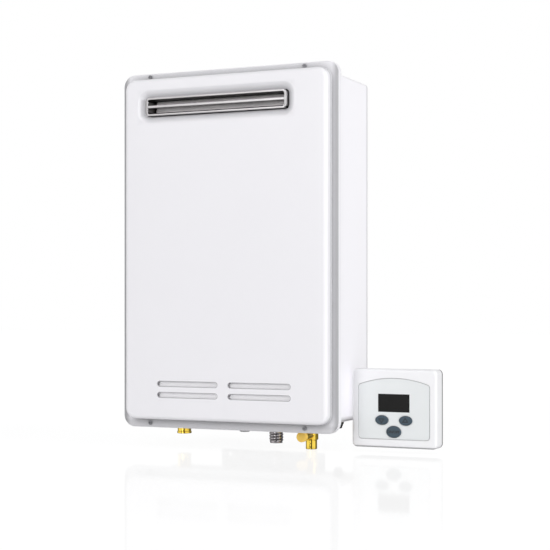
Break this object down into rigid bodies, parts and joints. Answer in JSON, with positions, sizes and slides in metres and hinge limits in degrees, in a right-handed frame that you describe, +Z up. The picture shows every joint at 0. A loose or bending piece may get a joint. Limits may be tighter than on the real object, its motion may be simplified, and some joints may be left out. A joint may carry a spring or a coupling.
{
  "type": "tankless water heater",
  "caption": "Wall-hung outdoor tankless gas water heater: white case with raised front cover, flue outlet, intake slots and brass fittings, and a separate controller with display and buttons.",
  "frame": {"origin": "middle of the wall screw pattern, on the wall plane, which is also the middle of the case", "axes": "+X to the right seen from the front, +Y into the wall, +Z up"},
  "size_m": [0.484, 0.182, 0.5835],
  "materials": {
    "white_enamel": "satin enamel",
    "zinc_sheet": "plain zinc-plated sheet",
    "stainless": "brushed stainless",
    "blued_steel": "dark passivated thread",
    "yellow_brass": "bright machined brass",
    "copper": "bare copper",
    "foam_rubber": "matt black",
    "black_plastic": "moulded black",
    "white_plastic": "glossy white",
    "pale_plastic": "pale grey film",
    "smoked_plastic": "smoked window",
    "slate_plastic": "soft slate blue",
    "board_green": "lacquered board",
    "cast_alloy": "die-cast",
    "bright_steel": "turned",
    "ceramic": "glazed",
    "white_nylon": "moulded natural",
    "grey_plastic": "moulded grey",
    "motor_black": "dark paint",
    "coil_red": "taped winding"
  },
  "bodies": {
    "heater": {"rear_case": "white_enamel", "case_floor": "white_enamel", "case_flange": "white_enamel", "cover_gasket": "foam_rubber", "wall_brackets": "zinc_sheet", "bracket_rivets": "bright_steel", "flue_frame": "stainless", "flue_vanes": "stainless", "flue_collector": "zinc_sheet", "exchanger_shell": "copper", "exchanger_fins": "copper", "exchanger_tubes": "copper", "heat_sensors": "black_plastic", "combustion_chamber": "copper", "electrodes": "ceramic", "burner_tray": "zinc_sheet", "burner_bars": "stainless", "support_bars": "cast_alloy", "gas_manifold": "cast_alloy", "gas_jets": "yellow_brass", "gas_feed_pipe": "cast_alloy", "gas_valve": "cast_alloy", "solenoid_coils": "coil_red", "gas_inlet": "blued_steel", "fan_housing": "zinc_sheet", "fan_motor": "motor_black", "inlet_fitting": "yellow_brass", "flow_sensor": "yellow_brass", "hall_sensor": "black_plastic", "cold_pipe": "copper", "hot_pipe": "copper", "hot_outlet": "yellow_brass", "fitting_plates": "zinc_sheet", "fitting_screws": "bright_steel", "igniter": "black_plastic", "control_box": "grey_plastic", "control_board": "board_green", "board_parts": "black_plastic", "control_lid": "grey_plastic", "terminal_block": "black_plastic", "power_gland": "black_plastic", "cable_gland": "grey_plastic"},
    "cover": {"front_cover": "white_enamel", "cover_screws": "bright_steel", "intake_baffle": "white_enamel"},
    "fan": {"fan_rotor": "white_nylon"},
    "turbine": {"flow_turbine": "white_nylon"},
    "plungers": {"valve_plungers": "bright_steel"},
    "drain_seal": {"drain_seal": "foam_rubber"},
    "drain_plug": {"drain_plug": "yellow_brass"},
    "controller": {"controller_base": "white_plastic", "controller_housing": "white_plastic", "controller_fascia": "pale_plastic", "display_window": "smoked_plastic", "display_module": "grey_plastic", "controller_board": "board_green", "tact_switches": "black_plastic"},
    "key_down": {"button_down": "slate_plastic"},
    "key_up": {"button_up": "slate_plastic"},
    "key_power": {"button_power": "slate_plastic"}
  },
  "joints": [
    {"name": "cover_pull", "type": "slide", "parent": "heater", "child": "cover", "axis": [0, -1, 0], "range_m": [0, 0.25]},
    {"name": "fan_spin", "type": "hinge", "parent": "heater", "child": "fan", "pos_m": [-0.037, -0.066, -0.1602], "axis": [0, -1, 0], "continuous": true},
    {"name": "turbine_spin", "type": "hinge", "parent": "heater", "child": "turbine", "pos_m": [0.106, -0.094, -0.185], "axis": [0, 0, 1], "continuous": true},
    {"name": "plunger_lift", "type": "slide", "parent": "heater", "child": "plungers", "axis": [0, -1, 0], "range_m": [0, 0.003], "stiffness_N_per_m": 200, "springref_m": -0.004},
    {"name": "drain_plug_draw", "type": "slide", "parent": "heater", "child": "drain_seal", "axis": [0, -1, 0], "range_m": [0, 0.0061]},
    {"name": "drain_plug_turn", "type": "hinge", "parent": "drain_seal", "child": "drain_plug", "pos_m": [0.106, -0.126, -0.279], "axis": [0, -1, 0], "range_deg": [0, 1440]},
    {"name": "controller_lift", "type": "slide", "parent": "heater", "child": "controller", "axis": [0, 0, 1], "range_m": [0, 0.12]},
    {"name": "down_press", "type": "slide", "parent": "controller", "child": "key_down", "axis": [0, 1, 0], "range_m": [0, 0.0012], "stiffness_N_per_m": 450, "springref_m": -0.001},
    {"name": "up_press", "type": "slide", "parent": "controller", "child": "key_up", "axis": [0, 1, 0], "range_m": [0, 0.0012], "stiffness_N_per_m": 450, "springref_m": -0.001},
    {"name": "power_press", "type": "slide", "parent": "controller", "child": "key_power", "axis": [0, 1, 0], "range_m": [0, 0.0012], "stiffness_N_per_m": 450, "springref_m": -0.001}
  ],
  "couplings": [
    {"joint": "drain_plug_draw", "follows": "drain_plug_turn", "m_per_rad": 0.00023873}
  ]
}
